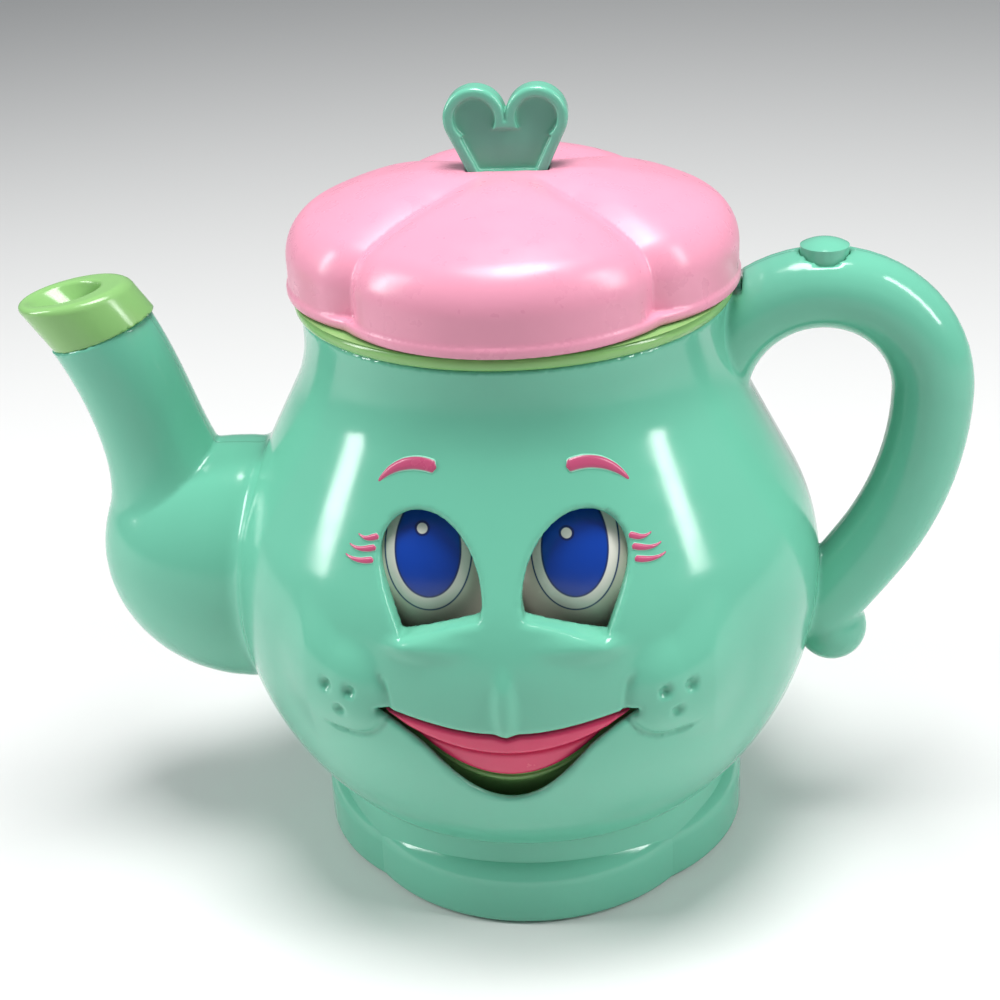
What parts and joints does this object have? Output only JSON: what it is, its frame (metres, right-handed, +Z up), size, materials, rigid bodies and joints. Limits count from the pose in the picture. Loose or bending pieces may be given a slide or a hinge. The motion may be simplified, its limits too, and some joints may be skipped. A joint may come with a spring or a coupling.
{
  "type": "toy teapot",
  "caption": "Talking toy teapot with a petal lid, heart knob, looped handle with a button, and a geared face whose mouth opens as the eyes roll.",
  "frame": {"origin": "on the table, under the middle of the foot, on the pot's upright axis", "axes": "+Z up, -Y out of the face, +X towards the handle (the spout points to -X)"},
  "size_m": [0.2346, 0.1508, 0.197],
  "materials": {
    "mint_plastic": "glossy moulded plastic",
    "lime_plastic": "glossy moulded plastic",
    "pink_plastic": "satin moulded plastic, lightly scratched",
    "hot_pink_plastic": "glossy painted plastic",
    "eye_plastic": "glossy white plastic with a printed iris",
    "white_plastic": "plain moulded plastic",
    "black_plastic": "matte black",
    "board": "green laminate",
    "cell_jacket": "plain cell jacket",
    "steel": "zinc-plated",
    "motor_steel": "plated steel",
    "brass": "turned brass"
  },
  "bodies": {
    "pot": {"front_shell": "mint_plastic", "rear_shell": "mint_plastic", "spout_tip": "lime_plastic", "collar_cup": "lime_plastic", "button_switch": "black_plastic", "switch_board": "board", "foot": "mint_plastic", "battery_door": "mint_plastic", "door_screw": "steel", "battery_cells": "cell_jacket", "battery_contacts": "steel", "foot_screws": "steel", "shell_screws": "steel", "mechanism_frame": "white_plastic", "frame_screws": "steel", "upper_lip": "hot_pink_plastic", "drive_pin": "steel", "motor_can": "motor_steel", "motor_cap": "white_plastic", "speaker_basket": "black_plastic", "speaker_cone": "black_plastic", "speaker_magnet": "motor_steel", "speaker_screws": "steel", "circuit_board": "board", "voice_chip": "black_plastic", "board_screws": "steel"},
    "lid": {"lid": "pink_plastic", "heart_knob": "mint_plastic", "knob_screw": "steel"},
    "button": {"button": "mint_plastic"},
    "jaw": {"jaw": "lime_plastic", "lower_lip": "hot_pink_plastic", "jaw_axle": "steel", "jaw_sector": "white_plastic"},
    "eyes": {"left_eye": "eye_plastic", "right_eye": "eye_plastic", "eye_axle": "steel", "eye_sector": "white_plastic"},
    "drive": {"drive_gear": "white_plastic"},
    "rotor": {"motor_shaft": "motor_steel", "motor_pinion": "brass"}
  },
  "joints": [
    {"name": "lid_lift", "type": "slide", "parent": "pot", "child": "lid", "axis": [0, 0, 1], "range_m": [0, 0.06]},
    {"name": "button_press", "type": "slide", "parent": "pot", "child": "button", "axis": [0, 0, -1], "range_m": [0, 0.0012], "stiffness_N_per_m": 300, "springref_m": -0.0004},
    {"name": "jaw_hinge", "type": "hinge", "parent": "pot", "child": "jaw", "pos_m": [0, 0, 0.075], "axis": [1, 0, 0], "range_deg": [0, 9]},
    {"name": "eye_roll", "type": "hinge", "parent": "pot", "child": "eyes", "pos_m": [0, -0.03729, 0.0955], "axis": [1, 0, 0], "range_deg": [0, 15]},
    {"name": "drive_spin", "type": "hinge", "parent": "pot", "child": "drive", "pos_m": [0.04, -0.01734, 0.09698], "axis": [1, 0, 0], "range_deg": [-22.5, 0]},
    {"name": "motor_spin", "type": "hinge", "parent": "pot", "child": "rotor", "pos_m": [0.04, -0.00736, 0.1045], "axis": [1, 0, 0], "range_deg": [0, 90]}
  ],
  "couplings": [
    {"joint": "eye_roll", "follows": "jaw_hinge", "ratio": 1.6667},
    {"joint": "drive_spin", "follows": "jaw_hinge", "ratio": -2.5},
    {"joint": "motor_spin", "follows": "jaw_hinge", "ratio": 10}
  ]
}
